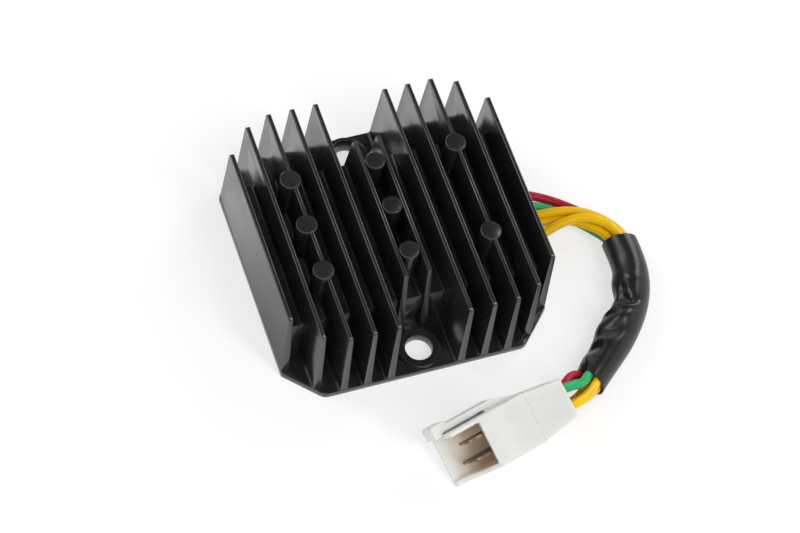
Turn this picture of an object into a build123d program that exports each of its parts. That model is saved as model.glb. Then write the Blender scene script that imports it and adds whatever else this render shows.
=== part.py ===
from build123d import *
import math
import os

# Voltage regulator rectifier: a finned die-cast housing, potted from below, with five wires that run
# through a soft sleeve to a six-way connector. Millimetres. The origin is on the surface that the
# casting stands on, under its middle. X runs across the fins, Y along them, and the wires leave on
# the +X side.

# Casting
flange_width = 70.5
flange_length = 70.0
flange_thickness = 2.0
corner_cut = 8.6
corner_radius = 3.0
tip_radius = 0.8
casting_height = 25.3
fin_count = 12
side_fin_inset = 1.15
fin_crest = 1.1
fin_foot = 1.9
end_draft = 4.0
end_steps = ((4, 35.0), (1, 32.7), (1, 26.0))
end_radius = 1.0
root_radius = 0.8
crest_radius = 0.4

# Raised housing block between the two mounting lugs
block_length = 41.0
block_height = 13.6
block_draft = 4.0
roof_thickness = 2.6
end_wall = 2.8
side_wall = 4.2
cavity_radius = 3.0

# The two short fins in the middle
middle_fin_length = 40.2
middle_fin_slope = 7.6

# Pin posts: two rows beside outer fins and one between the short fins
post_radius = 2.7
middle_post_radius = 2.55
post_draft = 0.7
post_rise = 0.3
post_edge = 0.25
post_spacing = 13.3
left_post_pitches = 3.597
right_post_pitches = 3.468

# Mounting lugs
hole_spacing = 58.0
hole_radius = 3.5
lug_radius = 5.6
lug_height = 3.1
lug_recess_radius = 4.5
lug_recess_depth = 0.5

# Wires and where they leave the casting
wire_diameter = 2.4
exit_spacing = 4.0
exit_middle_y = -0.6
exit_clearance = 0.4
exit_recess = 0.5
wire_inset = 6.0
solder_gap = 0.15

# Electronics under the roof
resin_recess = 0.6
sheet_thickness = 0.5
board_thickness = 1.6
board_side_gap = 3.05
board_end_gap = 1.2
board_corner = 1.5
package_height = 4.25
package_width = 10.0
package_body_length = 8.8
package_tab_length = 11.0
package_tab_thickness = 1.3
package_side_margin = 4.0
package_end_margin = 4.1
lead_width = 0.9
lead_pitch = 2.54
lead_thickness = 0.5
lead_reach = 2.2
small_lead_radius = 0.3
small_part_gap = 0.2
small_part_margin = 6.0
small_part_pitch = 9.0
small_row_y = 7.5
resistor_radius = 1.2
resistor_length = 6.3
resistor_span = 10.0
zener_radius = 1.0
zener_length = 4.0
zener_span = 7.5
transistor_radius = 2.3
transistor_length = 4.6
transistor_flat = 1.1
capacitor_size = (7.2, 5.0, 2.8)

# Sleeve over the wires
sleeve_radius = 4.8
sleeve_wall = 0.4

# Connector: it lies on its narrow side, leaning towards the front by plug_lean
plug_rear_x = 27.4
plug_rear_y = -54.9
plug_yaw = 195.0
plug_lean = 24.0
plug_length = 32.4
shroud_width = 13.4
shroud_height = 13.2
shroud_wall = 1.1
shroud_start = 10.8
shroud_floor = 14.0
seam_step = 0.15
rear_width = 10.2
rear_height = 11.6
edge_radius = 0.6
row_pitch = 4.8
way_pitch = 3.6
way_size = 3.0
window_start = 24.2
mouth_lip = 1.6
latch_gap = 0.7
latch_thickness = 1.4
latch_width = 6.4
latch_ramp = 6.5
latch_free = 20.0
latch_end = 35.0
ridge_height = 0.9
ridge_length = 4.2
ridge_edge = 0.5
catch_height = 0.9
catch_length = 1.3

# Terminals
crimp_start = 4.5
terminal_clearance = 0.1
barrel_radius = 1.3
barrel_length = 3.5
tab_height = 2.3
tab_thickness = 0.64
tab_tip = 29.0
tab_point = 0.8

# Sizes and levels that follow from those above
fin_pitch = (flange_width - 2 * side_fin_inset) / (fin_count - 1)
cavity_top = block_height - roof_thickness
cavity_width = flange_width - 2 * side_wall
cavity_length = block_length - 2 * end_wall
sheet_bottom = cavity_top - sheet_thickness
board_top = sheet_bottom - package_height
board_bottom = board_top - board_thickness
board_width = cavity_width - 2 * board_side_gap
board_length = cavity_length - 2 * board_end_gap
package_pitch = (board_width - package_width) / 2 - package_side_margin
package_row_y = (board_length - package_body_length) / 2 - package_end_margin
small_part_x = -board_width / 2 + small_part_margin
wire_radius = wire_diameter / 2
wire_level = board_bottom - solder_gap - wire_radius
crest_half_width = (fin_count - 1) / 2 * fin_pitch + fin_crest / 2


def fin_thickness(height):
    """Thickness of a fin at a height above the floor, from its foot on the flange to its crest."""
    share = (height - flange_thickness) / (casting_height - flange_thickness)
    return fin_foot + (fin_crest - fin_foot) * share


def channel_points(middle, half_pitch, floor):
    """Corners of the gap between two fins, half_pitch either side of its middle."""
    low = half_pitch - fin_thickness(floor) / 2
    high = half_pitch - fin_crest / 2
    return [
        (middle - low, floor),
        (middle + low, floor),
        (middle + high, casting_height),
        (middle - high, casting_height),
    ]


channel_middles = [(i - (fin_count - 2) / 2) * fin_pitch for i in range(fin_count - 1)]
side_points = [
    (-flange_width / 2, 0),
    (flange_width / 2, 0),
    (crest_half_width, casting_height),
    (-crest_half_width, casting_height),
]

# Room that the long fins may fill. Their ends are square to their length and lean inwards above the
# flange; the outer two on each side are shorter, as the cut corners leave less flange under them.
end_slope = math.tan(math.radians(end_draft))
with BuildPart() as fin_room:
    inner_x = 0
    for steps, half_length in end_steps:
        outer_x = inner_x + steps * fin_pitch
        with BuildSketch(Plane.YZ.offset(inner_x)) as room_side:
            with BuildLine():
                Polyline(
                    (-half_length, flange_thickness),
                    (half_length, flange_thickness),
                    (half_length - (casting_height - flange_thickness) * end_slope, casting_height),
                    (-half_length + (casting_height - flange_thickness) * end_slope, casting_height),
                    close=True,
                )
            make_face()
            fillet(room_side.vertices().group_by(Axis.Y)[-1], end_radius)
        extrude(amount=outer_x - inner_x)
        inner_x = outer_x
    mirror(about=Plane.YZ)

# Long fins: five either side of the lugs, with rounded crests and feet
with BuildPart() as long_fins:
    with BuildSketch(Plane.XZ) as comb:
        with BuildLine():
            Polyline(*side_points, close=True)
        make_face()
        for middle in channel_middles[:4] + channel_middles[-4:]:
            with BuildLine():
                Polyline(*channel_points(middle, fin_pitch / 2, flange_thickness), close=True)
            make_face(mode=Mode.SUBTRACT)
        with BuildLine():
            Polyline(*channel_points(0, 1.5 * fin_pitch, flange_thickness), close=True)
        make_face(mode=Mode.SUBTRACT)
        levels = comb.vertices().group_by(Axis.Y)
        fillet(levels[1], root_radius)
        fillet(comb.vertices().group_by(Axis.Y)[-1], crest_radius)
    extrude(amount=flange_length / 2, both=True)
    add(fin_room.part, mode=Mode.INTERSECT)
    with BuildSketch() as cut_outline:
        Rectangle(flange_width, flange_length)
        chamfer(cut_outline.vertices(), corner_cut)
    extrude(amount=casting_height, mode=Mode.INTERSECT)

# Short fins: their ends slope down to the flange in front of and behind the block
slope_run = (casting_height - flange_thickness) * math.tan(math.radians(middle_fin_slope))
with BuildPart() as middle_fins:
    with BuildSketch(Plane.XZ) as pair:
        for middle in (-fin_pitch / 2, fin_pitch / 2):
            with BuildLine():
                Polyline(
                    (middle - fin_foot / 2, flange_thickness),
                    (middle + fin_foot / 2, flange_thickness),
                    (middle + fin_crest / 2, casting_height),
                    (middle - fin_crest / 2, casting_height),
                    close=True,
                )
            make_face()
        fillet(pair.vertices().group_by(Axis.Y)[-1], crest_radius)
    extrude(amount=middle_fin_length / 2 + slope_run, both=True)
    with BuildSketch(Plane.YZ):
        with BuildLine():
            Polyline(
                (-middle_fin_length / 2 - slope_run, flange_thickness),
                (middle_fin_length / 2 + slope_run, flange_thickness),
                (middle_fin_length / 2, casting_height),
                (-middle_fin_length / 2, casting_height),
                close=True,
            )
        make_face()
    extrude(amount=2 * fin_pitch, both=True, mode=Mode.INTERSECT)

# Block: its top is the floor of the channels, so it carries the feet of all the fins
block_side_height = block_height + 2 * root_radius
block_run = (block_height - flange_thickness) * math.tan(math.radians(block_draft))
with BuildPart() as block:
    with BuildSketch(Plane.XZ) as steps:
        with BuildLine():
            Polyline(*side_points, close=True)
        make_face()
        for middle in channel_middles:
            with BuildLine():
                Polyline(*channel_points(middle, fin_pitch / 2, block_height), close=True)
            make_face(mode=Mode.SUBTRACT)
        fillet(steps.vertices().group_by(Axis.Y)[1], root_radius)
        with Locations((0, block_side_height)):
            Rectangle(2 * flange_width, casting_height, align=(Align.CENTER, Align.MIN), mode=Mode.SUBTRACT)
    extrude(amount=flange_length / 2, both=True)
    with BuildSketch(Plane.YZ):
        with BuildLine():
            Polyline(
                (-block_length / 2 - block_run, 0),
                (block_length / 2 + block_run, 0),
                (block_length / 2 + block_run, flange_thickness),
                (block_length / 2, block_height),
                (block_length / 2, block_side_height),
                (-block_length / 2, block_side_height),
                (-block_length / 2, block_height),
                (-block_length / 2 - block_run, flange_thickness),
                close=True,
            )
        make_face()
    extrude(amount=flange_width, both=True, mode=Mode.INTERSECT)

# Pin posts, a little higher than the crests, with a broken edge round the head
post_height = casting_height + post_rise - block_height + root_radius
post_spread = post_height * math.tan(math.radians(post_draft))
left_post_x = -left_post_pitches * fin_pitch
right_post_x = right_post_pitches * fin_pitch
outer_posts = [(left_post_x, -post_spacing), (left_post_x, 0), (left_post_x, post_spacing)]
outer_posts += [(right_post_x, -post_spacing), (right_post_x, post_spacing)]
middle_posts = [(0, -post_spacing), (0, 0), (0, post_spacing)]
with BuildPart() as posts:
    for places, radius in ((outer_posts, post_radius), (middle_posts, middle_post_radius)):
        with Locations(*[(x, y, block_height - root_radius) for x, y in places]):
            Cone(radius + post_spread, radius, post_height, align=(Align.CENTER, Align.CENTER, Align.MIN))
    heads = posts.edges().filter_by(GeomType.CIRCLE).group_by(Axis.Z)[-1]
    chamfer(heads, post_edge)

exit_width = 4 * exit_spacing + wire_diameter + 2 * exit_clearance
exit_height = wire_diameter + 2 * exit_clearance
with BuildPart() as heat_sink:
    with BuildSketch() as flange_outline:
        Rectangle(flange_width, flange_length)
        chamfer(flange_outline.vertices(), corner_cut)
        corners = flange_outline.vertices().group_by(Axis.Y)
        fillet(corners[0] + corners[-1], corner_radius)
        fillet(flange_outline.vertices().group_by(Axis.X)[0], tip_radius)
        fillet(flange_outline.vertices().group_by(Axis.X)[-1], tip_radius)
    extrude(amount=flange_thickness)
    add(block.part)
    add(long_fins.part)
    add(middle_fins.part)
    add(posts.part)
    with Locations((0, -hole_spacing / 2), (0, hole_spacing / 2)):
        Cylinder(lug_radius, lug_height, align=(Align.CENTER, Align.CENTER, Align.MIN))
    with Locations((0, -hole_spacing / 2, lug_height), (0, hole_spacing / 2, lug_height)):
        CounterBoreHole(hole_radius, lug_recess_radius, lug_recess_depth, depth=lug_height)
    with BuildSketch():
        RectangleRounded(cavity_width, cavity_length, cavity_radius)
    extrude(amount=cavity_top, mode=Mode.SUBTRACT)
    with BuildSketch(Plane.YZ.offset(cavity_width / 2 - cavity_radius)):
        with Locations((exit_middle_y, wire_level)):
            SlotOverall(exit_width, exit_height)
    extrude(amount=side_wall + 2 * cavity_radius, mode=Mode.SUBTRACT)
heat_sink.part.label = "heat_sink"
export_step(heat_sink.part, "parts/heat_sink.step")

# Insulating sheet between the roof and the power packages
with BuildPart() as insulating_sheet:
    with BuildSketch(Plane.XY.offset(sheet_bottom)):
        RectangleRounded(board_width, board_length, board_corner)
    extrude(amount=sheet_thickness)
insulating_sheet.part.label = "insulating_sheet"
export_step(insulating_sheet.part, "parts/insulating_sheet.step")

# Circuit board, which carries the packages on its top and the small parts on its underside
with BuildPart() as circuit_board:
    with BuildSketch(Plane.XY.offset(board_bottom)):
        RectangleRounded(board_width, board_length, board_corner)
    extrude(amount=board_thickness)
circuit_board.part.label = "circuit_board"
export_step(circuit_board.part, "parts/circuit_board.step")

# Power packages: a tab against the sheet, a moulded body and three leads bent down to the board.
# One thyristor and one double diode serve each phase.
tab_bottom = sheet_bottom - package_tab_thickness
lead_top = board_top + package_height / 2
packages = []
for row, name in ((1, "thyristor"), (-1, "rectifier_diode")):
    for column in (-1, 0, 1):
        middle_x = column * package_pitch
        body_y = row * package_row_y
        inner_y = body_y - row * package_body_length / 2
        with BuildPart() as package:
            with BuildSketch(Plane.XY.offset(board_top)):
                with Locations((middle_x, body_y)):
                    Rectangle(package_width, package_body_length)
            extrude(amount=package_height - package_tab_thickness)
            with BuildSketch(Plane.XY.offset(tab_bottom)):
                with Locations((middle_x, body_y + row * (package_tab_length - package_body_length) / 2)):
                    Rectangle(package_width, package_tab_length)
            extrude(amount=package_tab_thickness)
            for lead in (-1, 0, 1):
                with BuildSketch(Plane.YZ.offset(middle_x + lead * lead_pitch - lead_width / 2)):
                    with BuildLine():
                        Polyline(
                            (inner_y, lead_top),
                            (inner_y - row * lead_reach, lead_top),
                            (inner_y - row * lead_reach, board_top),
                            (inner_y - row * (lead_reach - lead_thickness), board_top),
                            (inner_y - row * (lead_reach - lead_thickness), lead_top - lead_thickness),
                            (inner_y, lead_top - lead_thickness),
                            close=True,
                        )
                    make_face()
                extrude(amount=lead_width)
        package.part.label = f"{name}_{column + 2}"
        export_step(package.part, f"parts/{name}_{column + 2}.step")
        packages.append(package.part)

# Small parts close under the board, with their leads bent up to it
small_parts = []
axial_parts = (
    ("gate_resistor_1", 0, 1, resistor_radius, resistor_length, resistor_span),
    ("gate_resistor_2", 1, 1, resistor_radius, resistor_length, resistor_span),
    ("gate_resistor_3", 2, 1, resistor_radius, resistor_length, resistor_span),
    ("sense_resistor", 0, -1, resistor_radius, resistor_length, resistor_span),
    ("zener_diode", 1, -1, zener_radius, zener_length, zener_span),
)
for name, place, row, radius, length, span in axial_parts:
    x = small_part_x + place * small_part_pitch
    y = row * small_row_y
    axis_level = board_bottom - small_part_gap - radius
    with BuildPart() as axial:
        with BuildSketch(Plane.XZ.offset(-y)):
            with Locations((x, axis_level)):
                Circle(radius)
        extrude(amount=length / 2, both=True)
        with BuildSketch(Plane.XZ.offset(-y)):
            with Locations((x, axis_level)):
                Circle(small_lead_radius)
        extrude(amount=span / 2, both=True)
        with Locations((x, y - span / 2, axis_level), (x, y + span / 2, axis_level)):
            Cylinder(
                small_lead_radius, radius + small_part_gap,
                align=(Align.CENTER, Align.CENTER, Align.MIN),
            )
    axial.part.label = name
    export_step(axial.part, f"parts/{name}.step")
    small_parts.append(axial.part)

# Control transistor: a D-shaped moulding with its flat against the board
transistor_x = small_part_x + 3 * small_part_pitch
transistor_y = small_row_y
with BuildPart() as control_transistor:
    with BuildSketch(Plane.XZ.offset(-transistor_y)):
        with Locations((transistor_x, board_bottom - transistor_flat)):
            Circle(transistor_radius)
        with Locations((transistor_x, board_bottom)):
            Rectangle(
                4 * transistor_radius, transistor_radius,
                align=(Align.CENTER, Align.MIN), mode=Mode.SUBTRACT,
            )
    extrude(amount=transistor_length / 2, both=True)
    with Locations(*[(transistor_x + i * lead_pitch / 2, transistor_y, board_bottom - lead_width / 2)
                     for i in (-1, 0, 1)]):
        Box(lead_thickness, transistor_length + 2 * lead_reach, lead_width)
control_transistor.part.label = "control_transistor"
export_step(control_transistor.part, "parts/control_transistor.step")
small_parts.append(control_transistor.part)

# Filter capacitor: a small film block
capacitor_x = small_part_x + 2.5 * small_part_pitch
capacitor_y = -small_row_y
with BuildPart() as filter_capacitor:
    with Locations((capacitor_x, capacitor_y, board_bottom)):
        Box(*capacitor_size, align=(Align.CENTER, Align.CENTER, Align.MAX))
    fillet(filter_capacitor.edges().filter_by(Axis.Z), edge_radius)
filter_capacitor.part.label = "filter_capacitor"
export_step(filter_capacitor.part, "parts/filter_capacitor.step")
small_parts.append(filter_capacitor.part)

# Frame of the connector: x runs from its wire end to its mouth, y to its near side and z up its
# height. It leans about its length, with the lower near edge on the floor.
yaw = math.radians(plug_yaw)
lean = math.radians(plug_lean)
plug_axis = Vector(math.cos(yaw), math.sin(yaw), 0)
level_near = Vector(-math.sin(yaw), math.cos(yaw), 0)
plug_up = Vector(0, 0, 1) * math.cos(lean) + level_near * math.sin(lean)
plug_level = shroud_height / 2 * math.cos(lean) + shroud_width / 2 * math.sin(lean)
plug = Plane(origin=(plug_rear_x, plug_rear_y, plug_level), x_dir=plug_axis, z_dir=plug_up)
across = Plane(origin=plug.origin, x_dir=plug.y_dir, z_dir=plug.x_dir)
along = Plane(origin=plug.origin, x_dir=plug.x_dir, z_dir=-plug.y_dir)


def in_plug(distance, side, height):
    """A point of the connector's frame as a point of the whole model."""
    return plug.from_local_coords(Vector(distance, side, height))


# Connector housing: a rear body with six ways that widens to the seam, a shroud round the tabs with
# its top and near walls cut back at the mouth, and a latch arm along the far side
inner_width = shroud_width - 2 * shroud_wall
inner_height = shroud_height - 2 * shroud_wall
far_face = -shroud_width / 2
arm_inner = far_face - latch_gap
arm_outer = arm_inner - latch_thickness
ridge_start = latch_end - ridge_length
with BuildPart() as connector_housing:
    with BuildSketch(across):
        RectangleRounded(rear_width, rear_height, edge_radius)
    with BuildSketch(across.offset(shroud_start)):
        RectangleRounded(shroud_width - 2 * seam_step, shroud_height - 2 * seam_step, edge_radius)
    loft(ruled=True)
    with BuildSketch(across.offset(shroud_start)):
        RectangleRounded(shroud_width, shroud_height, edge_radius)
    extrude(amount=plug_length - shroud_start)
    with BuildSketch(across.offset(shroud_floor)):
        RectangleRounded(inner_width, inner_height, edge_radius)
    extrude(amount=plug_length, mode=Mode.SUBTRACT)
    with BuildSketch(across):
        with GridLocations(row_pitch, way_pitch, 2, 3):
            Rectangle(way_size, way_size)
    extrude(amount=shroud_floor, mode=Mode.SUBTRACT)
    with BuildSketch(along.offset(-shroud_width)):
        with BuildLine():
            Polyline(
                (window_start, shroud_height),
                (window_start, inner_height / 2),
                (plug_length - mouth_lip, -inner_height / 2 + mouth_lip),
                (plug_length + mouth_lip, -inner_height / 2 + mouth_lip),
                (plug_length + mouth_lip, shroud_height),
                close=True,
            )
        make_face()
    extrude(amount=shroud_width + inner_width / 2, mode=Mode.SUBTRACT)
    with BuildSketch(plug) as arm:
        with BuildLine():
            Polyline(
                (shroud_start, far_face + shroud_wall / 2),
                (shroud_start + seam_step, far_face),
                (shroud_start + latch_ramp, arm_outer),
                (ridge_start, arm_outer),
                (ridge_start + ridge_height / 2, arm_outer - ridge_height),
                (latch_end - ridge_edge, arm_outer - ridge_height),
                (latch_end, arm_outer - ridge_height + ridge_edge),
                (latch_end, arm_inner + catch_height),
                (latch_end - catch_length, arm_inner + catch_height),
                (latch_end - 2 * catch_length, arm_inner),
                (latch_free + latch_gap, arm_inner),
                (latch_free, far_face + shroud_wall / 2),
                close=True,
            )
        make_face()
    extrude(amount=latch_width / 2, both=True)
connector_housing.part.label = "connector_housing"
export_step(connector_housing.part, "parts/connector_housing.step")

# Wires: name, place in the exit row, points from the exit through the sleeve to the connector, and the
# way of the connector that each one enters
wires = (
    ("red", 2, [
        (38.0, 7.2, 3.3), (46.0, 4.2, 2.4), (53.0, -0.8, 1.7), (58.0, -6.4, 2.0), (60.8, -12.9, 2.9),
        (60.6, -20.1, 2.3), (58.6, -27.0, 2.2), (54.6, -33.2, 2.4), (49.2, -38.9, 2.9), (43.2, -44.2, 4.0),
        (37.5, -48.8, 5.9), (33.4, -48.6, 8.0),
    ], (-1, 0)),
    ("green", 1, [
        (38.0, 3.4, 3.3), (45.5, 1.4, 2.4), (51.0, -3.2, 1.6), (55.4, -8.2, 2.1), (58.3, -13.1, 3.0),
        (58.2, -19.9, 3.1), (56.7, -26.3, 3.8), (53.5, -32.5, 4.6), (48.8, -38.5, 5.4), (43.5, -44.5, 6.6),
        (38.4, -49.7, 8.0), (34.5, -52.9, 10.0),
    ], (-1, 1)),
    ("yellow_1", 0, [
        (38.0, -0.6, 3.3), (46.3, -1.0, 4.6), (53.3, -3.4, 5.0), (58.3, -7.5, 5.0), (61.6, -12.9, 5.3),
        (62.0, -20.1, 4.4), (60.6, -27.7, 3.7), (56.7, -34.6, 3.0), (51.1, -40.5, 2.6), (44.8, -45.9, 3.0),
        (39.0, -50.4, 4.3), (34.6, -53.3, 4.3),
    ], (1, -1)),
    ("yellow_2", -1, [
        (38.0, -4.6, 3.3), (45.8, -4.4, 3.3), (51.3, -6.4, 3.8), (55.6, -9.4, 4.7), (57.6, -13.1, 5.3),
        (58.2, -19.9, 5.7), (57.5, -26.6, 6.2), (54.9, -33.4, 6.5), (50.5, -39.9, 6.6), (45.3, -46.3, 7.0),
        (40.2, -51.6, 7.4), (35.3, -55.7, 9.4),
    ], (1, 1)),
    ("yellow_3", -2, [
        (37.5, -8.6, 3.3), (45.3, -6.4, 5.7), (52.0, -5.8, 6.9), (57.1, -8.8, 6.9), (59.6, -13.0, 6.9),
        (60.6, -20.0, 6.4), (60.0, -27.4, 6.1), (56.8, -34.7, 5.5), (51.9, -41.2, 4.9), (46.1, -47.1, 4.8),
        (40.7, -52.2, 5.0), (35.2, -55.4, 6.6),
    ], (1, 0)),
)
sleeve_route = [
    (59.6, -13.0, 4.8), (59.9, -20.0, 4.8), (58.7, -27.0, 4.8), (55.3, -33.7, 4.8), (50.3, -39.8, 4.9),
    (44.6, -45.6, 5.2), (39.2, -50.6, 5.8),
]
entry_distance = 2.4
arc_share = 0.45


def arc_radii(route):
    """Radius at each corner of a route: as large as the shorter of its two runs allows."""
    points = [Vector(point) for point in route]
    radii = []
    for before, here, after in zip(points, points[1:], points[2:]):
        run = min((here - before).length, (after - here).length)
        turn = math.radians((here - before).get_angle(after - here))
        radii.append(arc_share * run / math.tan(turn / 2))
    return radii


def report_route(name, line, radii, solid_volume, section):
    """Prints a route's length and radii, and its volume beside section times length."""
    print(name, "length", round(line.length, 1), "radii", [round(radius, 1) for radius in radii])
    print("  volume", round(solid_volume, 1), "section times length", round(section * line.length, 1))


wire_parts = []
for name, place, middle_points, (column, level) in wires:
    exit_y = exit_middle_y + place * exit_spacing
    side = column * row_pitch / 2
    height = level * way_pitch
    route = [(cavity_width / 2 - wire_inset, exit_y, wire_level)]
    route += middle_points
    route += [in_plug(-entry_distance, side, height), in_plug(crimp_start, side, height)]
    radii = arc_radii(route)
    with BuildPart() as wire:
        with BuildLine() as path:
            FilletPolyline(*route, radius=radii)
        centreline = path.wires()[0]
        with BuildSketch(Plane(origin=centreline @ 0, z_dir=centreline % 0)):
            Circle(wire_radius)
        sweep()
    report_route(name, centreline, radii, wire.part.volume, math.pi * wire_radius ** 2)
    wire.part.label = f"wire_{name}"
    export_step(wire.part, f"parts/wire_{name}.step")
    wire_parts.append(wire.part)

# Sleeve: a thin soft tube round the five wires
sleeve_radii = arc_radii(sleeve_route)
with BuildPart() as wire_sleeve:
    with BuildLine() as sleeve_path:
        FilletPolyline(*sleeve_route, radius=sleeve_radii)
    sleeve_line = sleeve_path.wires()[0]
    with BuildSketch(Plane(origin=sleeve_line @ 0, z_dir=sleeve_line % 0)):
        Circle(sleeve_radius)
        Circle(sleeve_radius - sleeve_wall, mode=Mode.SUBTRACT)
    sweep()
sleeve_section = math.pi * (sleeve_radius ** 2 - (sleeve_radius - sleeve_wall) ** 2)
report_route("sleeve", sleeve_line, sleeve_radii, wire_sleeve.part.volume, sleeve_section)
wire_sleeve.part.label = "wire_sleeve"
export_step(wire_sleeve.part, "parts/wire_sleeve.step")

# Terminals: a barrel on the wire's end, a square body in the way and a flat tab in the shroud
body_size = way_size - 2 * terminal_clearance
for name, place, middle_points, (column, level) in wires:
    side = column * row_pitch / 2
    height = level * way_pitch
    with BuildPart() as terminal:
        with BuildSketch(across.offset(crimp_start)):
            with Locations((side, height)):
                Circle(barrel_radius)
        extrude(amount=barrel_length)
        with BuildSketch(across.offset(crimp_start + barrel_length)):
            with Locations((side, height)):
                Rectangle(body_size, body_size)
        extrude(amount=shroud_floor - crimp_start - barrel_length)
        with BuildSketch(along.offset(-side)):
            with BuildLine():
                Polyline(
                    (shroud_floor, height - tab_height / 2),
                    (tab_tip - tab_point, height - tab_height / 2),
                    (tab_tip, height - tab_height / 2 + tab_point),
                    (tab_tip, height + tab_height / 2 - tab_point),
                    (tab_tip - tab_point, height + tab_height / 2),
                    (shroud_floor, height + tab_height / 2),
                    close=True,
                )
            make_face()
        extrude(amount=tab_thickness / 2, both=True)
    terminal.part.label = f"terminal_{name}"
    export_step(terminal.part, f"parts/terminal_{name}.step")

# Resin: it fills the cavity and the wire exit round everything that it holds
with BuildPart() as potting_resin:
    with BuildSketch(Plane.XY.offset(resin_recess)):
        RectangleRounded(cavity_width, cavity_length, cavity_radius)
    extrude(amount=cavity_top - resin_recess)
    with BuildSketch(Plane.YZ.offset(cavity_width / 2 - cavity_radius)):
        with Locations((exit_middle_y, wire_level)):
            SlotOverall(exit_width, exit_height)
    extrude(amount=side_wall + cavity_radius - exit_recess)
    for piece in [insulating_sheet.part, circuit_board.part] + packages + small_parts + wire_parts:
        add(piece, mode=Mode.SUBTRACT)
potting_resin.part.label = "potting_resin"
export_step(potting_resin.part, "parts/potting_resin.step")
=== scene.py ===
"""Looks of a voltage regulator rectifier: a black finned casting, five wires in a soft sleeve and a white
connector. It is laid out as an add-on and is run as a script. Metres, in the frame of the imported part:
X across the fins, Y along them, Z up from the surface that the casting stands on."""

import math

import bmesh
import bpy
import numpy as np
from bpy.props import FloatProperty, FloatVectorProperty, IntProperty, PointerProperty
from mathutils import Matrix, Vector


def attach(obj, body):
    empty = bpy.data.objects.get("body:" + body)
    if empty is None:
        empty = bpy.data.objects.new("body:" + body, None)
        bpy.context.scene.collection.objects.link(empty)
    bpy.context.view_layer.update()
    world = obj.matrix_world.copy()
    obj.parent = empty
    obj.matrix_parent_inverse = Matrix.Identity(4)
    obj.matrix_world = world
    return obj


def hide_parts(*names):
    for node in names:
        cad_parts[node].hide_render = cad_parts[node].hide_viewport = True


bl_info = {
    "name": "Regulator rectifier",
    "version": (1, 0, 0),
    "blender": (4, 5, 0),
    "location": "3D View > Sidebar > Regulator",
    "description": "Builds the casting, wires, sleeve, connector and stage of a regulator rectifier",
    "category": "Object",
}

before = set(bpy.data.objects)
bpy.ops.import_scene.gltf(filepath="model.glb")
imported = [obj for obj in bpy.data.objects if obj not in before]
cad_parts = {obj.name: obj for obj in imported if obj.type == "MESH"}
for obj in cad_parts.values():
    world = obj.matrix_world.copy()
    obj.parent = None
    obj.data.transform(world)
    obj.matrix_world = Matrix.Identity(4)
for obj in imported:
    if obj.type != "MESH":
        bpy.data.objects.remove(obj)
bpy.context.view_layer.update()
ROOT = "root"
MM = 0.001

# Camera, from a fit to the fins, the pin posts and the edges of the casting
CAMERA_PLACE = (-0.174693, -0.307100, 0.595940)
CAMERA_AZIMUTH = math.radians(-30.514)
CAMERA_ELEVATION = math.radians(59.472)
CAMERA_ROLL = math.radians(13.495)
CAMERA_LENS = 121.98
SENSOR_WIDTH = 36.0

# Floor: half its width, how far it lies below the part, its colour under the lamps, and for rays from the
# camera, reflections and glass a darker colour with a glow of its own
FLOOR_HALF = 3.0
FLOOR_DROP = 0.0001
FLOOR_COLOUR = (0.85, 0.85, 0.85)
FLOOR_SEEN_COLOUR = (0.42, 0.42, 0.42)
FLOOR_SEEN_GLOW = 0.62
# Upward part of a direction between which the sky turns from the walls to the ceiling
SKY_TURN = (0.50, 0.78)
# Lamps: the point that they face, and for each its place from there, its width and its height; the fill has
# no place of its own, because it stands straight behind the camera
LAMP_AIM = (0.01, -0.01, 0.0)
LAMPS = {
    "key": ((0.30, -0.55, 0.78), 0.22, 0.65),
    "right": ((0.70, 0.44, 0.56), 0.24, 0.70),
    "left": ((-0.55, 0.44, 0.71), 0.24, 0.60),
    "fill": (None, 0.8, 0.8),
}

# Meshes: how near each other two corners are the same one, up to which angle faces become one and from
# which an edge gets rounded, the steps of a curve from one control point to the next, and how fine the ring
# round a wire is
SAME_PLACE = 1e-6
FLAT_ANGLE = math.radians(1.0)
SHARP_ANGLE = math.radians(38)
CURVE_STEPS = 12
RING_STEPS = 7
# Sockets of the Mix node for colours, by number, because its sockets share their names
MIX_FACTOR, MIX_FIRST, MIX_SECOND, MIX_RESULT = 0, 6, 7, 2

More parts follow.
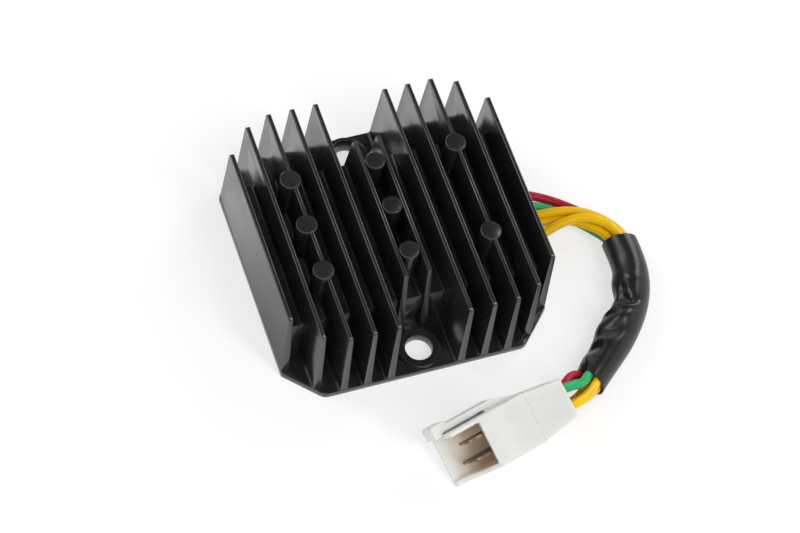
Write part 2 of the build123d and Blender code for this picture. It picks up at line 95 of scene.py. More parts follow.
# Routes of the wires in metres: from inside the resin, out of the casting's side, through the sleeve and
# into the connector
WIRE_ROUTES = {
    "red": [
        (0.02505, 0.00740, 0.00330), (0.0380, 0.0072, 0.0033), (0.0460, 0.0042, 0.0024),
        (0.0530, -0.0008, 0.0017), (0.0580, -0.0064, 0.0020), (0.0608, -0.0129, 0.0029),
        (0.0606, -0.0201, 0.0023), (0.0586, -0.0270, 0.0022), (0.0546, -0.0332, 0.0024),
        (0.0489, -0.0389, 0.0029), (0.0424, -0.0442, 0.0039), (0.0364, -0.0488, 0.0057),
        (0.0328, -0.0487, 0.0079), (0.02915, -0.05216, 0.00973), (0.02249, -0.05395, 0.00973),
    ],
    "green": [
        (0.02505, 0.00340, 0.00330), (0.0380, 0.0034, 0.0033), (0.0455, 0.0014, 0.0024),
        (0.0510, -0.0032, 0.0016), (0.0554, -0.0082, 0.0021), (0.0583, -0.0131, 0.0030),
        (0.0582, -0.0199, 0.0031), (0.0567, -0.0263, 0.0038), (0.0535, -0.0325, 0.0046),
        (0.0485, -0.0385, 0.0054), (0.0427, -0.0445, 0.0065), (0.0373, -0.0497, 0.0078),
        (0.0339, -0.0529, 0.0099), (0.02953, -0.05358, 0.01302), (0.02286, -0.05536, 0.01302),
    ],
    "yellow_1": [
        (0.02505, -0.00060, 0.00330), (0.0380, -0.0008, 0.0033), (0.0463, -0.0014, 0.0046),
        (0.0533, -0.0034, 0.0050), (0.0583, -0.0075, 0.0050), (0.0616, -0.0129, 0.0053),
        (0.0620, -0.0201, 0.0044), (0.0606, -0.0277, 0.0037), (0.0567, -0.0346, 0.0030),
        (0.0508, -0.0405, 0.0026), (0.0440, -0.0459, 0.0029), (0.0379, -0.0504, 0.0041),
        (0.0340, -0.0533, 0.0042), (0.02991, -0.05498, 0.00449), (0.02324, -0.05677, 0.00449),
    ],
    "yellow_2": [
        (0.02505, -0.00460, 0.00330), (0.0380, -0.0038, 0.0033), (0.0458, -0.0029, 0.0032),
        (0.0513, -0.0054, 0.0039), (0.0556, -0.0094, 0.0047), (0.0576, -0.0131, 0.0053),
        (0.0582, -0.0199, 0.0057), (0.0575, -0.0266, 0.0062), (0.0549, -0.0334, 0.0065),
        (0.0502, -0.0399, 0.0066), (0.0445, -0.0463, 0.0069), (0.0391, -0.0516, 0.0072),
        (0.0347, -0.0557, 0.0093), (0.03066, -0.05781, 0.01107), (0.02400, -0.05960, 0.01107),
    ],
    "yellow_3": [
        (0.02505, -0.00860, 0.00330), (0.0375, -0.0082, 0.0033), (0.0453, -0.0060, 0.0056),
        (0.0520, -0.0058, 0.0069), (0.0571, -0.0088, 0.0069), (0.0596, -0.0130, 0.0069),
        (0.0606, -0.0200, 0.0064), (0.0600, -0.0274, 0.0061), (0.0568, -0.0347, 0.0055),
        (0.0516, -0.0412, 0.0049), (0.0453, -0.0471, 0.0047), (0.0396, -0.0522, 0.0048),
        (0.0346, -0.0554, 0.0065), (0.03029, -0.05640, 0.00778), (0.02362, -0.05818, 0.00778),
    ],
}
# Middle line of the sleeve, from the casting to the connector
SLEEVE_ROUTE = [
    (0.0596, -0.0130, 0.0048), (0.0599, -0.0200, 0.0048), (0.0587, -0.0270, 0.0048),
    (0.0553, -0.0337, 0.0048), (0.0500, -0.0398, 0.0049), (0.0438, -0.0456, 0.0051),
    (0.0381, -0.0506, 0.0056),
]
TERMINALS = ["terminal_" + name for name in WIRE_ROUTES]

# Frame of the connector: its wire end, and the directions along it, to its near side and up its height
PLUG_PLACE = (0.02740, -0.05490, 0.00875)
PLUG_ALONG = (-0.96593, -0.25882, 0.0)
PLUG_NEAR = (0.23644, -0.88242, -0.40674)
PLUG_UP = (0.10527, -0.39288, 0.91355)
# The turn that lays the connector's length along X, for marks that run along it
PLUG_TURN = (0.0, 0.0, math.radians(-15.0))
# In the connector's frame: half the width and height of the hollow in the shroud, where the hollow starts,
# the depths between which the painted shade in the hollow fades, where the seam runs round the housing, and
# the distances from there between which the seam fades
HOLLOW_HALF_WIDTH = 0.00575
HOLLOW_HALF_HEIGHT = 0.00565
HOLLOW_START = 0.0135
PAINTED_SHADE_FADE = (0.023, 0.0335)
SEAM_PLACE = 0.0108
SEAM_FADE = (0.00005, 0.00022)

# Grid of the sleeve: stations along it, angles round it, and one station in so many for its lining
SLEEVE_STATIONS = 401
SLEEVE_ANGLES = 160
LINING_EVERY = 5
# Folds of the sleeve, where it buckles on the inside of its bend: place along it in mm, angle round it in
# degrees from the inside of the bend, lean in mm a radian, half widths in mm and degrees, and height in mm
FOLDS = (
    (8.0, 60.0, 0.0, 4.0, 30.0, -0.25),
    (14.8, 0.0, 0.0, 3.6, 24.0, 0.75),
    (13.2, 60.0, 1.4, 1.2, 36.0, 0.18),
    (18.2, 46.0, 0.0, 1.8, 13.0, -0.55),
    (19.8, -2.0, 0.0, 1.8, 22.0, -0.50),
    (21.6, 56.0, 0.0, 2.1, 27.0, -1.60),
    (23.4, 55.0, -2.6, 0.9, 34.0, -1.50),
    (24.9, 54.0, -2.6, 1.0, 46.0, 1.10),
    (26.6, 78.0, -2.6, 2.4, 34.0, 0.85),
    (31.0, 4.0, 0.0, 4.6, 34.0, 1.15),
    (32.2, 62.0, -2.0, 2.1, 40.0, -0.75),
    (35.2, 52.0, -1.5, 1.5, 26.0, 0.20),
    (38.3, 32.0, -1.0, 1.8, 28.0, -0.70),
    (41.5, 0.0, 0.0, 5.0, 32.0, 0.75),
    (42.6, 38.0, 4.0, 1.3, 22.0, 0.45),
)
# Slant of the sleeve's two ends in mm: what the upper end loses on the inside of the bend, what it loses
# more on the outside, and what the lower end gains on the outside; and the length over which they act
SLEEVE_SLANT = (1.0, 1.36, 1.3)
SLANT_REACH = 10
# Length in mm over which the sleeve narrows to its end at the connector, and how softly it lies on the wires
NARROW_REACH = 16
SETTLE = 0.10
# Hollow between the wires on top, into which the sleeve may sink: its depth in mm, its angle and half width
# in degrees, the place in mm from which it gets shallower, and the length over which it does
WIRE_HOLLOW = (0.4, 70.0, 50.0, 27, 5)


class CastingSettings(bpy.types.PropertyGroup):
    """Sizes and colour of the painted casting."""

    edge: FloatProperty(
        name="Edge rounding", description="Width of the rounding on the casting's sharp edges",
        default=0.00036, min=0.0, unit="LENGTH",
    )
    steps: IntProperty(name="Edge steps", description="Faces across each rounding", default=2, min=1, max=6)
    paint: FloatVectorProperty(
        name="Paint", description="Colour of the black paint", subtype="COLOR", size=3,
        default=(0.0175, 0.0175, 0.0180), min=0.0, max=1.0,
    )


class WireSettings(bpy.types.PropertyGroup):
    """Sizes and colours of the wires and the sleeve."""

    diameter: FloatProperty(
        name="Wire diameter", description="Diameter over the insulation",
        default=0.0024, min=0.0, unit="LENGTH",
    )
    red: FloatVectorProperty(
        name="Red", description="Colour of the red insulation", subtype="COLOR", size=3,
        default=(0.46, 0.006, 0.034), min=0.0, max=1.0,
    )
    green: FloatVectorProperty(
        name="Green", description="Colour of the green insulation", subtype="COLOR", size=3,
        default=(0.012, 0.42, 0.15), min=0.0, max=1.0,
    )
    yellow: FloatVectorProperty(
        name="Yellow", description="Colour of the yellow insulation", subtype="COLOR", size=3,
        default=(0.93, 0.55, 0.001), min=0.0, max=1.0,
    )
    sleeve_radius: FloatProperty(
        name="Sleeve radius", description="Outer radius of the sleeve away from its folds",
        default=0.00456, min=0.0, unit="LENGTH",
    )
    sleeve_least: FloatProperty(
        name="Least radius", description="Outer radius at which the sleeve lies on the wires",
        default=0.00370, min=0.0, unit="LENGTH",
    )
    sleeve_end: FloatProperty(
        name="End radius", description="Outer radius at the connector's end",
        default=0.00395, min=0.0, unit="LENGTH",
    )
    sleeve_wall: FloatProperty(
        name="Sleeve wall", description="Thickness of the sleeve's wall",
        default=0.0003, min=0.0, unit="LENGTH",
    )


class ConnectorSettings(bpy.types.PropertyGroup):
    """Sizes and colour of the connector."""

    edge: FloatProperty(
        name="Edge rounding", description="Width of the rounding on the moulding's edges",
        default=0.00022, min=0.0, unit="LENGTH",
    )
    steps: IntProperty(name="Edge steps", description="Faces across each rounding", default=2, min=1, max=6)
    nylon: FloatVectorProperty(
        name="Nylon", description="Colour of the white moulding", subtype="COLOR", size=3,
        default=(0.745, 0.75, 0.72), min=0.0, max=1.0,
    )


class StageSettings(bpy.types.PropertyGroup):
    """Light and background."""

    key: FloatProperty(
        name="Key light", description="Power of the soft light over the right shoulder",
        default=3.6, min=0.0, unit="POWER",
    )
    right: FloatProperty(
        name="Right light", description="Power of the light behind on the right",
        default=2.2, min=0.0, unit="POWER",
    )
    left: FloatProperty(
        name="Left light", description="Power of the light behind on the left",
        default=2.0, min=0.0, unit="POWER",
    )
    fill: FloatProperty(
        name="Fill light", description="Power of the wide light behind the camera",
        default=1.8, min=0.0, unit="POWER",
    )
    walls: FloatProperty(
        name="Walls", description="Brightness of the white walls all round",
        default=0.82, min=0.0,
    )
    ceiling: FloatProperty(
        name="Ceiling", description="Brightness of the dark ceiling",
        default=0.08, min=0.0,
    )


class Value:
    """A shader socket that can be used in an expression; each operator adds one Math node."""

    def __init__(self, kit, socket):
        self.kit = kit
        self.socket = socket

    def math(self, operation, *others):
        """One Math node: this value first, then the others."""
        return self.kit.node("ShaderNodeMath", {"operation": operation}, dict(enumerate((self, *others))))

    def __add__(self, other):
        return self.math("ADD", other)

    __radd__ = __add__

    def __mul__(self, other):
        return self.math("MULTIPLY", other)

    __rmul__ = __mul__

    def __sub__(self, other):
        return self.math("SUBTRACT", other)

    def __rsub__(self, other):
        return self.kit.node("ShaderNodeMath", {"operation": "SUBTRACT"}, {0: other, 1: self})

    def clamped(self):
        """The value kept from 0 to 1."""
        return self.kit.node("ShaderNodeClamp", {}, {"Value": self})

    def between(self, low, high):
        """0 below low, 1 above high, and a smooth step from one to the other."""
        return self.kit.node(
            "ShaderNodeMapRange", {"interpolation_type": "SMOOTHSTEP"},
            {"Value": self, "From Min": low, "From Max": high},
        )


class Nodes:
    """Builds nodes in one tree."""

    def __init__(self, tree):
        self.tree = tree

    def put(self, socket, value):
        """Links or sets one input socket."""
        if isinstance(value, Value):
            self.tree.links.new(value.socket, socket)
        elif hasattr(value, "__len__") and socket.type == "RGBA" and len(value) == 3:
            socket.default_value = (*value, 1.0)
        else:
            socket.default_value = value

    def node(self, kind, settings, inputs, output=0):
        """Adds a node: its settings first, then its sockets, by name or number."""
        made = self.tree.nodes.new(kind)
        for key, value in settings.items():
            setattr(made, key, value)
        for key, value in inputs.items():
            self.put(made.inputs[key], value)
        return Value(self, made.outputs[output])

    def place(self):
        """Object coordinates, which are metres in the part's frame."""
        return self.node("ShaderNodeTexCoord", {}, {}, "Object")

    def along(self, direction, start):
        """Distance from a starting point in one direction."""
        away = self.node("ShaderNodeVectorMath", {"operation": "SUBTRACT"}, {0: self.place(), 1: start})
        return self.node(
            "ShaderNodeVectorMath", {"operation": "DOT_PRODUCT"}, {0: away, 1: direction}, "Value",
        )

    def scaled(self, scale, turn):
        """Object coordinates, turned and scaled."""
        return self.node("ShaderNodeMapping", {}, {"Vector": self.place(), "Rotation": turn, "Scale": scale})

    def noise(self, vector, scale, detail, roughness):
        """Soft noise with so many features a metre."""
        return self.node(
            "ShaderNodeTexNoise", {},
            {"Vector": vector, "Scale": scale, "Detail": detail, "Roughness": roughness},
        )

    def blend(self, factor, first, second):
        """A colour between two colours."""
        return self.node(
            "ShaderNodeMix", {"data_type": "RGBA"},
            {MIX_FACTOR: factor, MIX_FIRST: first, MIX_SECOND: second}, MIX_RESULT,
        )

    def bump(self, height, distance, strength):
        """A normal that shows the height as relief; distance is what a height of 1 is in metres."""
        return self.node("ShaderNodeBump", {}, {"Height": height, "Distance": distance, "Strength": strength})


class Finish(Nodes):
    """One material's nodes round a Principled shader."""

    def __init__(self, name):
        self.material = bpy.data.materials.new(name)
        self.material.use_nodes = True
        super().__init__(self.material.node_tree)
        self.tree.nodes.clear()
        self.output = self.tree.nodes.new("ShaderNodeOutputMaterial")
        self.shader = self.tree.nodes.new("ShaderNodeBsdfPrincipled")
        self.tree.links.new(self.shader.outputs[0], self.output.inputs["Surface"])

    def surface(self, **values):
        """Sets the Principled shader's sockets; underscores in the names stand for spaces."""
        for key, value in values.items():
            self.put(self.shader.inputs[key.replace("_", " ")], value)
        return self.material


def toned(colour, share):
    """The colour made darker or lighter: each part of it times a share."""
    return tuple(part * share for part in colour)


def painted_casting(colour):
    """Gloss black paint on a die casting: faint orange peel, rubbed in soft patches, with specks of dust."""
    kit = Finish("painted_casting")
    place = kit.place()
    peel = kit.noise(place, scale=950.0, detail=2.0, roughness=0.55)
    swell = kit.noise(place, scale=160.0, detail=2.0, roughness=0.5)
    patches = kit.noise(place, scale=60.0, detail=3.0, roughness=0.6).between(0.35, 0.75)
    dust = kit.noise(place, scale=2600.0, detail=1.0, roughness=0.5).between(0.66, 0.8)
    tone = kit.blend(patches, toned(colour, 0.80), toned(colour, 1.15))
    tone = kit.blend(dust * 0.3, tone, toned(colour, 2.4))
    return kit.surface(
        Base_Color=tone,
        Roughness=0.19 + patches * 0.08 + dust * 0.08,
        Normal=kit.bump(peel * 0.45 + swell * 0.55, distance=0.00005, strength=0.5),
        IOR=1.62,
        Metallic=0.0,
    )


def wire_insulation(name, colour):
    """Extruded PVC: soft gloss, with very slight waves along the wire and a few dull patches."""
    kit = Finish(name)
    place = kit.place()
    waves = kit.noise(place, scale=420.0, detail=2.0, roughness=0.5)
    patches = kit.noise(place, scale=130.0, detail=2.0, roughness=0.5).between(0.3, 0.8)
    tone = kit.blend(patches, toned(colour, 0.94), toned(colour, 1.04))
    return kit.surface(
        Base_Color=tone,
        Roughness=0.20 + patches * 0.08,
        Normal=kit.bump(waves, distance=0.00006, strength=0.4),
        IOR=1.33,
        Subsurface_Weight=0.06,
        Subsurface_Radius=(1.0, 0.8, 0.5),
        Subsurface_Scale=0.0008,
    )


def sleeve_vinyl():
    """Soft black vinyl: smooth and glossy, with fine creases round the tube."""
    kit = Finish("sleeve_vinyl")
    place = kit.place()
    creases = kit.noise(place, scale=260.0, detail=3.0, roughness=0.6)
    fine = kit.noise(place, scale=1500.0, detail=2.0, roughness=0.5)
    patches = kit.noise(place, scale=90.0, detail=2.0, roughness=0.5).between(0.3, 0.75)
    return kit.surface(
        Base_Color=kit.blend(patches, (0.0095, 0.0095, 0.0100), (0.0140, 0.0138, 0.0142)),
        Roughness=0.24 + patches * 0.10,
        Normal=kit.bump(creases * 0.8 + fine * 0.2, distance=0.00012, strength=0.25),
        IOR=1.5,
    )


def moulded_nylon(colour):
    """Natural white nylon: slightly milky and translucent, satin, with faint flow marks and a thin seam round
    the housing, dotted where the mould's halves meet; inside the shroud a painted shade turns it darker beige
    towards the floor."""
    kit = Finish("moulded_nylon")
    place = kit.place()
    flow = kit.noise(kit.scaled((60.0, 200.0, 200.0), PLUG_TURN), scale=1.0, detail=3.0, roughness=0.6)
    fine = kit.noise(place, scale=1400.0, detail=2.0, roughness=0.5)
    tone = kit.blend(flow.between(0.3, 0.7), toned(colour, 0.97), colour)
    distance = kit.along(PLUG_ALONG, PLUG_PLACE)
    aside = kit.along(PLUG_NEAR, PLUG_PLACE).math("ABSOLUTE")
    above = kit.along(PLUG_UP, PLUG_PLACE).math("ABSOLUTE")
    inside = aside.math("LESS_THAN", HOLLOW_HALF_WIDTH) * above.math("LESS_THAN", HOLLOW_HALF_HEIGHT)
    depth = distance.math("GREATER_THAN", HOLLOW_START) * (1.0 - distance.between(*PAINTED_SHADE_FADE))
    # painted shade: deep in the shroud's hollow the colour turns darker beige, standing in for the shade that
    # falls there
    tone = kit.blend(inside * depth, tone, (0.80, 0.67, 0.54))
    seam = 1.0 - (distance - SEAM_PLACE).math("ABSOLUTE").between(*SEAM_FADE)
    dots = kit.noise(place, scale=900.0, detail=1.0, roughness=0.5).between(0.5, 0.62)
    tone = kit.blend(seam * (0.15 + dots * 0.35), tone, (0.30, 0.27, 0.22))
    return kit.surface(
        Base_Color=tone,
        Roughness=0.40 + fine * 0.08,
        Normal=kit.bump(flow * 0.7 + fine * 0.3 - seam * 2.0, distance=0.00003, strength=0.3),
        IOR=1.53,
        Subsurface_Weight=0.7,
        Subsurface_Radius=(1.0, 0.92, 0.82),
        Subsurface_Scale=0.0025,
    )


def stamped_brass():
    """Brass strip: fine rolling marks, dulled and stained in patches; both colours are darkened as painted
    shade, for tabs that lie in the housing's shade.
    """
    kit = Finish("stamped_brass")
    marks = kit.noise(kit.scaled((300.0, 5000.0, 5000.0), PLUG_TURN), scale=1.0, detail=2.0, roughness=0.5)
    stain = kit.noise(kit.place(), scale=500.0, detail=2.0, roughness=0.6).between(0.4, 0.7)
    return kit.surface(
        # painted shade: both brass colours are darkened for the shade inside the housing; the stain mask
        # varies between them at random
        Base_Color=kit.blend(stain, (0.26, 0.18, 0.11), (0.15, 0.10, 0.065)),
        Metallic=1.0,
        Roughness=0.36 + marks * 0.16 + stain * 0.1,
        Normal=kit.bump(marks, distance=0.00001, strength=0.4),
    )


def cast_resin():
    """Black casting resin, poured and levelled: glossy, with small dimples and dull swirls."""
    kit = Finish("cast_resin")
    place = kit.place()
    swirl = kit.noise(place, scale=90.0, detail=4.0, roughness=0.6)
    dimples = kit.node("ShaderNodeTexVoronoi", {}, {"Vector": place, "Scale": 260.0}).between(0.05, 0.22)
    return kit.surface(
        Base_Color=kit.blend(swirl.between(0.35, 0.7), (0.012, 0.012, 0.013), (0.022, 0.021, 0.020)),
        Roughness=0.22 + swirl * 0.3,
        Normal=kit.bump(dimples * 0.4 + swirl, distance=0.00012, strength=0.5),
        IOR=1.52,
    )


def small_part_finish(name, colour, rough, scale=900.0):
    """A plain moulded or printed surface with slight mottling, for the pieces inside the resin."""
    kit = Finish(name)
    grain = kit.noise(kit.place(), scale=scale, detail=3.0, roughness=0.55)
    return kit.surface(
        Base_Color=kit.blend(grain.between(0.3, 0.7), toned(colour, 0.85), toned(colour, 1.1)),
        Roughness=rough + grain * 0.1,
        Normal=kit.bump(grain, distance=0.00003, strength=0.4),
    )


def paint_with(piece, material):
    """Gives a piece one material in every slot."""
    slots = piece.data.materials
    if len(slots) == 0:
        slots.append(material)
    for i in range(len(slots)):
        slots[i] = material


def keep_node(name, material):
    """A CAD node that stays as it is, with a better material."""
    paint_with(bpy.data.objects[name], material)


def merged_copy(node, name):
    """A copy of a CAD node's mesh as one closed skin: doubles merged and flat areas joined."""
    mesh = bpy.data.objects[node].data.copy()
    mesh.name = name
    work = bmesh.new()
    work.from_mesh(mesh)
    bmesh.ops.remove_doubles(work, verts=work.verts, dist=SAME_PLACE)
    bmesh.ops.dissolve_limit(work, angle_limit=FLAT_ANGLE, verts=work.verts, edges=work.edges)
    bmesh.ops.recalc_face_normals(work, faces=work.faces)
    work.to_mesh(mesh)
    work.free()
    piece = bpy.data.objects.new(name, mesh)
    bpy.context.scene.collection.objects.link(piece)
    return piece


def round_edges(piece, width, steps):
    """Rounds the sharp edges and shades the rest smoothly up to them."""
    bevel = piece.modifiers.new("rounding", "BEVEL")
    bevel.width = width
    bevel.segments = steps
    bevel.limit_method = "ANGLE"
    bevel.angle_limit = SHARP_ANGLE
    bevel.use_clamp_overlap = True
    bevel.harden_normals = True
    bevel.miter_outer = "MITER_ARC"
    piece.data.shade_smooth()


def carry(piece, slot, *nodes):
    """Puts a piece under the root body and hides the CAD nodes that it stands for. The slot is not used."""
    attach(piece, ROOT)
    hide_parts(*nodes)


def spline_curve(name, route, radius=0.0):
    """A curve of one smooth NURBS spline with the route's points as its control points."""
    data = bpy.data.curves.new(name, "CURVE")
    data.dimensions = "3D"
    data.resolution_u = CURVE_STEPS
    spline = data.splines.new("NURBS")
    spline.points.add(len(route) - 1)
    spline.points.foreach_set("co", np.column_stack([np.array(route), np.ones(len(route))]).ravel())
    spline.order_u = 3
    spline.use_endpoint_u = True
    data.bevel_depth = radius
    data.bevel_resolution = RING_STEPS
    data.use_fill_caps = radius > 0
    return bpy.data.objects.new(name, data)


def spline_points(route, count):
    """Points along a route's NURBS spline, evenly spaced, as one array."""
    guide = spline_curve("guide", route)
    bpy.context.scene.collection.objects.link(guide)
    bpy.context.view_layer.update()
    mesh = bpy.data.meshes.new_from_object(guide.evaluated_get(bpy.context.evaluated_depsgraph_get()))
    points = np.empty(len(mesh.vertices) * 3)
    mesh.vertices.foreach_get("co", points)
    points = points.reshape(-1, 3)
    curve = guide.data
    bpy.data.objects.remove(guide)
    bpy.data.curves.remove(curve)
    bpy.data.meshes.remove(mesh)
    along = np.concatenate([[0.0], np.cumsum(np.linalg.norm(np.diff(points, axis=0), axis=1))])
    wanted = np.linspace(0.0, along[-1], count)
    return np.column_stack([np.interp(wanted, along, points[:, k]) for k in range(3)])


def grid_mesh(name, points):
    """A closed tube of quads: points is rows x columns x 3, and the rows and the columns both close up."""
    rows, columns = points.shape[:2]
    r, c = np.meshgrid(np.arange(rows), np.arange(columns), indexing="ij")
    r_next, c_next = (r + 1) % rows, (c + 1) % columns
    faces = np.stack(
        [r * columns + c, r * columns + c_next, r_next * columns + c_next, r_next * columns + c], axis=-1,
    ).reshape(-1, 4)
    mesh = bpy.data.meshes.new(name)
    mesh.from_pydata(points.reshape(-1, 3), [], faces.tolist())
    work = bmesh.new()
    work.from_mesh(mesh)
    bmesh.ops.recalc_face_normals(work, faces=work.faces)
    work.to_mesh(mesh)
    work.free()
    mesh.shade_smooth()
    piece = bpy.data.objects.new(name, mesh)
    bpy.context.scene.collection.objects.link(piece)
    return piece


def smooth_step(value):
    """0 below 0, 1 above 1, and a smooth step from one to the other."""
    value = np.clip(value, 0.0, 1.0)
    return value * value * (3.0 - 2.0 * value)


def fold_heights(along, around):
    """Height of the folds over the plain tube: for each row of FOLDS a bell across the fold, whose place
    along the tube leans with the angle, times a bell round the tube."""
    height = np.zeros_like(along)
    for place, angle, lean, width, spread, amount in FOLDS:
        away = (around - math.radians(angle) + math.pi) % (2 * math.pi) - math.pi
        across = (along - (place + lean * away) * MM) / (width * MM)
        height += amount * MM * np.exp(-across ** 2) * np.exp(-(away / math.radians(spread)) ** 2)
    return height


def sleeve_points(settings):
    """Outer and inner skin of the sleeve on a grid of stations along it and angles round it. The outer
    radius at each point is the sleeve's radius, narrowing to the end radius at the connector, plus the
    height of the folds. A soft maximum, least + s * log(1 + exp((wanted - least) / s)), keeps it above the
    radius at which it lies on the wires, which is smaller in the hollow between them on top. The lining is
    a wall's thickness inside the skin, with fewer stations. Both ends are cut at a slant: the stations near
    them move along the tube by a share that grows from the inside of the bend to its outside."""
    centre = spline_points(SLEEVE_ROUTE, SLEEVE_STATIONS)
    tangent = np.gradient(centre, axis=0)
    tangent /= np.linalg.norm(tangent, axis=1, keepdims=True)
    aside = np.cross(tangent, (0.0, 0.0, 1.0))
    aside /= np.linalg.norm(aside, axis=1, keepdims=True)
    above = np.cross(aside, tangent)
    length = np.linalg.norm(np.diff(centre, axis=0), axis=1).sum()
    marks = np.linspace(0.0, length, SLEEVE_STATIONS)
    turns = np.linspace(0.0, 2 * math.pi, SLEEVE_ANGLES, endpoint=False)
    along, around = np.meshgrid(marks, turns, indexing="ij")
    outside = (1.0 - np.cos(around)) / 2
    lost, lost_more, gained = (part * MM for part in SLEEVE_SLANT)
    reach = SLANT_REACH * MM
    slanted = along + (lost + lost_more * outside) * (1.0 - smooth_step(along / reach))
    slanted += gained * outside * smooth_step((along - length) / reach + 1.0)

    def at(values):
        """Values of the stations, read off at the slanted places."""
        return np.stack([np.interp(slanted, marks, values[:, k]) for k in range(3)], axis=-1)

    middle = at(centre) + np.maximum(slanted - length, 0.0)[..., None] * at(tangent)
    narrow = smooth_step((slanted - length + NARROW_REACH * MM) / (NARROW_REACH * MM))
    plain = settings.sleeve_radius + (settings.sleeve_end - settings.sleeve_radius) * narrow
    wanted = plain + fold_heights(slanted, around)
    depth, angle, spread, start, fade = WIRE_HOLLOW
    hollow = np.exp(-((around - math.radians(angle)) / math.radians(spread)) ** 2)
    ending = 1.0 - smooth_step((slanted - start * MM) / (fade * MM))
    least = settings.sleeve_least - depth * MM * hollow * ending
    soft = SETTLE * MM
    outer = least + soft * np.logaddexp(0.0, (wanted - least) / soft)
    inner = outer - settings.sleeve_wall
    unit = np.cos(around)[..., None] * at(aside) + np.sin(around)[..., None] * at(above)
    skin = middle + outer[..., None] * unit
    lining = middle + inner[..., None] * unit
    return np.concatenate([skin, lining[::-LINING_EVERY]])


def camera_axes():
    """Right, up and back of the camera. Back points from the part to the camera, at the azimuth and the
    elevation; right and up start level and upright, and the roll turns them about back."""
    azimuth, elevation, roll = CAMERA_AZIMUTH, CAMERA_ELEVATION, CAMERA_ROLL
    back = Vector((
        math.sin(azimuth) * math.cos(elevation),
        -math.cos(azimuth) * math.cos(elevation),
        math.sin(elevation),
    ))
    level = Vector((math.cos(azimuth), math.sin(azimuth), 0.0))
    upright = back.cross(level)
    right = math.cos(roll) * level + math.sin(roll) * upright
    up = -math.sin(roll) * level + math.cos(roll) * upright
    return right, up, back


def make_camera(scene):
    """The camera at the photo's angle."""
    data = bpy.data.cameras.new("camera")
    data.lens = CAMERA_LENS
    data.sensor_width = SENSOR_WIDTH
    camera = bpy.data.objects.new("camera", data)
    turn = Matrix(camera_axes()).transposed().to_4x4()
    camera.matrix_world = Matrix.Translation(CAMERA_PLACE) @ turn
    scene.collection.objects.link(camera)
    scene.camera = camera


def make_floor(scene):
    """A pale floor under the lamps. For the camera and in reflections much of it is its own light, which
    keeps the shadows faint."""
    corners = [(x * FLOOR_HALF, y * FLOOR_HALF, 0.0) for x, y in ((-1, -1), (1, -1), (1, 1), (-1, 1))]
    mesh = bpy.data.meshes.new("floor")
    mesh.from_pydata(corners, [], [(0, 1, 2, 3)])
    floor = bpy.data.objects.new("floor", mesh)
    floor.location.z = -FLOOR_DROP
    scene.collection.objects.link(floor)
    kit = Finish("floor_white")
    camera, glossy, through = (
        kit.node("ShaderNodeLightPath", {}, {}, name)
        for name in ("Is Camera Ray", "Is Glossy Ray", "Is Transmission Ray")
    )
    seen = (camera + glossy + through).clamped()
    colour = kit.blend(seen, FLOOR_COLOUR, FLOOR_SEEN_COLOUR)
    kit.surface(Base_Color=colour, Roughness=1.0, Specular_IOR_Level=0.0)
    glow = kit.node("ShaderNodeEmission", {}, {"Color": (1.0, 1.0, 1.0), "Strength": seen * FLOOR_SEEN_GLOW})
    both = kit.node("ShaderNodeAddShader", {}, {0: Value(kit, kit.shader.outputs[0]), 1: glow})
    kit.put(kit.output.inputs["Surface"], both)
    paint_with(floor, kit.material)


def make_sky(scene, settings):
    """White walls all round, and a dark ceiling over them."""
    world = bpy.data.worlds.new("sky")
    world.use_nodes = True
    background = world.node_tree.nodes["Background"]
    background.inputs["Color"].default_value = (1.0, 1.0, 1.0, 1.0)
    kit = Nodes(world.node_tree)
    direction = kit.node("ShaderNodeTexCoord", {}, {}, "Generated")
    rise = kit.node("ShaderNodeSeparateXYZ", {}, {"Vector": direction}, "Z").between(*SKY_TURN)
    kit.put(background.inputs["Strength"], settings.walls + rise * (settings.ceiling - settings.walls))
    scene.world = world


def make_lamps(scene, settings):
    """A soft light over the camera's right shoulder, two long ones behind for the edges of the crests, and a
    wide one behind the camera."""
    back = camera_axes()[2]
    for name, (place, width, height) in LAMPS.items():
        offset = Vector(place or back)
        data = bpy.data.lights.new(name, "AREA")
        data.shape = "RECTANGLE"
        data.size, data.size_y = width, height
        data.energy = getattr(settings, name)
        lamp = bpy.data.objects.new(name, data)
        turn = offset.to_track_quat("Z", "Y").to_matrix().to_4x4()
        lamp.matrix_world = Matrix.Translation(Vector(LAMP_AIM) + offset) @ turn
        scene.collection.objects.link(lamp)


class REGULATOR_OT_stage(bpy.types.Operator):
    """Makes the camera, the floor and the lights"""

    bl_idname = "regulator.stage"
    bl_label = "Stage"

    def execute(self, context):
        scene = context.scene
        scene.view_settings.view_transform = "Standard"
        make_camera(scene)
        make_floor(scene)
        make_sky(scene, scene.regulator_stage)
        make_lamps(scene, scene.regulator_stage)
        return {"FINISHED"}


class REGULATOR_OT_wires(bpy.types.Operator):
    """Makes the five wires, from the resin to the connector"""

    bl_idname = "regulator.wires"
    bl_label = "Wires"

    def execute(self, context):
        settings = context.scene.regulator_wires
        colours = {"red": settings.red, "green": settings.green, "yellow": settings.yellow}
        materials = {name: wire_insulation("insulation_" + name, colour) for name, colour in colours.items()}
        for name, route in WIRE_ROUTES.items():
            colour = name.split("_")[0]
            piece = spline_curve("lead_" + name, route, settings.diameter / 2)
            context.scene.collection.objects.link(piece)
            paint_with(piece, materials[colour])
            carry(piece, colour + "_pvc", "wire_" + name)
        return {"FINISHED"}


class REGULATOR_OT_sleeve(bpy.types.Operator):
    """Makes the soft sleeve round the wires"""

    bl_idname = "regulator.sleeve"
    bl_label = "Sleeve"

    def execute(self, context):
        piece = grid_mesh("sleeve", sleeve_points(context.scene.regulator_wires))
        paint_with(piece, sleeve_vinyl())
        carry(piece, "black_vinyl", "wire_sleeve")
        return {"FINISHED"}


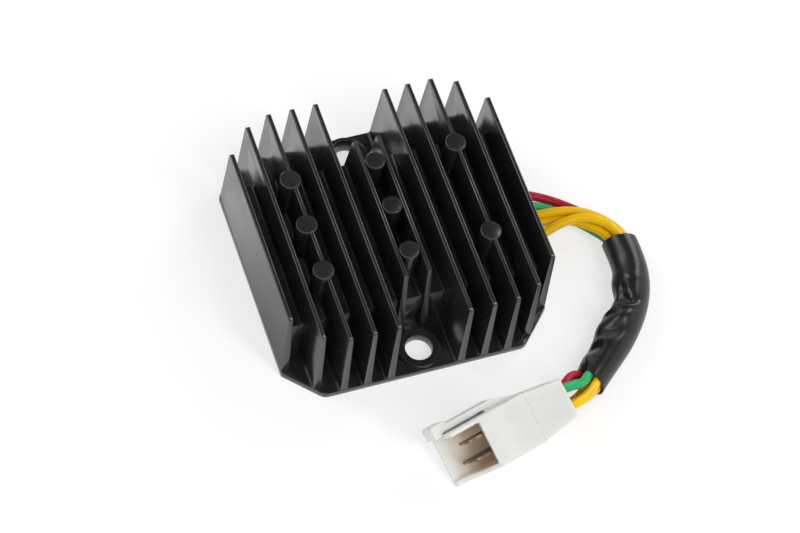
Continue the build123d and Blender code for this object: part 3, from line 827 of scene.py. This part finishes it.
class REGULATOR_OT_casting(bpy.types.Operator):
    """Makes the painted casting with its edges rounded"""

    bl_idname = "regulator.casting"
    bl_label = "Casting"

    def execute(self, context):
        settings = context.scene.regulator_casting
        piece = merged_copy("heat_sink", "casting")
        round_edges(piece, settings.edge, settings.steps)
        paint_with(piece, painted_casting(settings.paint))
        carry(piece, "black_paint", "heat_sink")
        return {"FINISHED"}


class REGULATOR_OT_connector(bpy.types.Operator):
    """Makes the white connector housing and finishes its brass terminals"""

    bl_idname = "regulator.connector"
    bl_label = "Connector"

    def execute(self, context):
        settings = context.scene.regulator_connector
        piece = merged_copy("connector_housing", "housing")
        round_edges(piece, settings.edge, settings.steps)
        paint_with(piece, moulded_nylon(settings.nylon))
        carry(piece, "white_nylon", "connector_housing")
        brass = stamped_brass()
        for name in TERMINALS:
            keep_node(name, brass)
        return {"FINISHED"}


class REGULATOR_OT_electronics(bpy.types.Operator):
    """Finishes the resin and the electronics that it holds"""

    bl_idname = "regulator.electronics"
    bl_label = "Resin and electronics"

    def execute(self, context):
        keep_node("potting_resin", cast_resin())
        keep_node("insulating_sheet", small_part_finish("insulator", (0.36, 0.37, 0.39), 0.6))
        keep_node("circuit_board", small_part_finish("board", (0.04, 0.20, 0.09), 0.4, scale=400.0))
        package = small_part_finish("package", (0.022, 0.022, 0.023), 0.5)
        for i in (1, 2, 3):
            keep_node(f"thyristor_{i}", package)
            keep_node(f"rectifier_diode_{i}", package)
        keep_node("control_transistor", package)
        resistor = small_part_finish("resistor", (0.55, 0.40, 0.24), 0.45)
        for name in ("gate_resistor_1", "gate_resistor_2", "gate_resistor_3", "sense_resistor"):
            keep_node(name, resistor)
        keep_node("zener_diode", small_part_finish("zener", (0.20, 0.20, 0.20), 0.3))
        keep_node("filter_capacitor", small_part_finish("capacitor", (0.60, 0.42, 0.05), 0.35))
        return {"FINISHED"}


class REGULATOR_OT_cords(bpy.types.Operator):
    """Does nothing: it returns at once."""

    bl_idname = "regulator.cords"
    bl_label = "Cords"

    def execute(self, context):
        return {"FINISHED"}


class REGULATOR_PT_panel(bpy.types.Panel):
    """Lists the settings and the steps"""

    bl_idname = "REGULATOR_PT_panel"
    bl_label = "Regulator rectifier"
    bl_space_type = "VIEW_3D"
    bl_region_type = "UI"
    bl_category = "Regulator"

    def draw(self, context):
        groups = (
            ("regulator_stage", ("key", "right", "left", "fill", "walls", "ceiling"), ("regulator.stage",)),
            ("regulator_wires", ("diameter", "red", "green", "yellow"), ("regulator.wires",)),
            (
                "regulator_wires", ("sleeve_radius", "sleeve_least", "sleeve_end", "sleeve_wall"),
                ("regulator.sleeve",),
            ),
            ("regulator_casting", ("edge", "steps", "paint"), ("regulator.casting",)),
            ("regulator_connector", ("edge", "steps", "nylon"), ("regulator.connector",)),
        )
        for group, names, operators in groups:
            box = self.layout.box()
            for name in names:
                box.prop(getattr(context.scene, group), name)
            for operator in operators:
                box.operator(operator)
        self.layout.operator("regulator.electronics")
        self.layout.operator("regulator.cords")


GROUPS = {
    "regulator_casting": CastingSettings,
    "regulator_wires": WireSettings,
    "regulator_connector": ConnectorSettings,
    "regulator_stage": StageSettings,
}
CLASSES = (
    *GROUPS.values(),
    REGULATOR_OT_stage,
    REGULATOR_OT_wires,
    REGULATOR_OT_sleeve,
    REGULATOR_OT_casting,
    REGULATOR_OT_connector,
    REGULATOR_OT_electronics,
    REGULATOR_OT_cords,
    REGULATOR_PT_panel,
)


def register():
    """Registers the classes and gives the scene their settings."""
    for made in CLASSES:
        bpy.utils.register_class(made)
    for name, group in GROUPS.items():
        setattr(bpy.types.Scene, name, PointerProperty(type=group))


def unregister():
    """Takes the settings and the classes away again."""
    for name in GROUPS:
        delattr(bpy.types.Scene, name)
    for made in reversed(CLASSES):
        bpy.utils.unregister_class(made)


def main():
    """Registers the classes and makes everything in order."""
    register()
    bpy.ops.regulator.stage()
    bpy.ops.regulator.wires()
    bpy.ops.regulator.sleeve()
    bpy.ops.regulator.casting()
    bpy.ops.regulator.connector()
    bpy.ops.regulator.electronics()
    bpy.ops.regulator.cords()


if __name__ == "__main__":
    main()
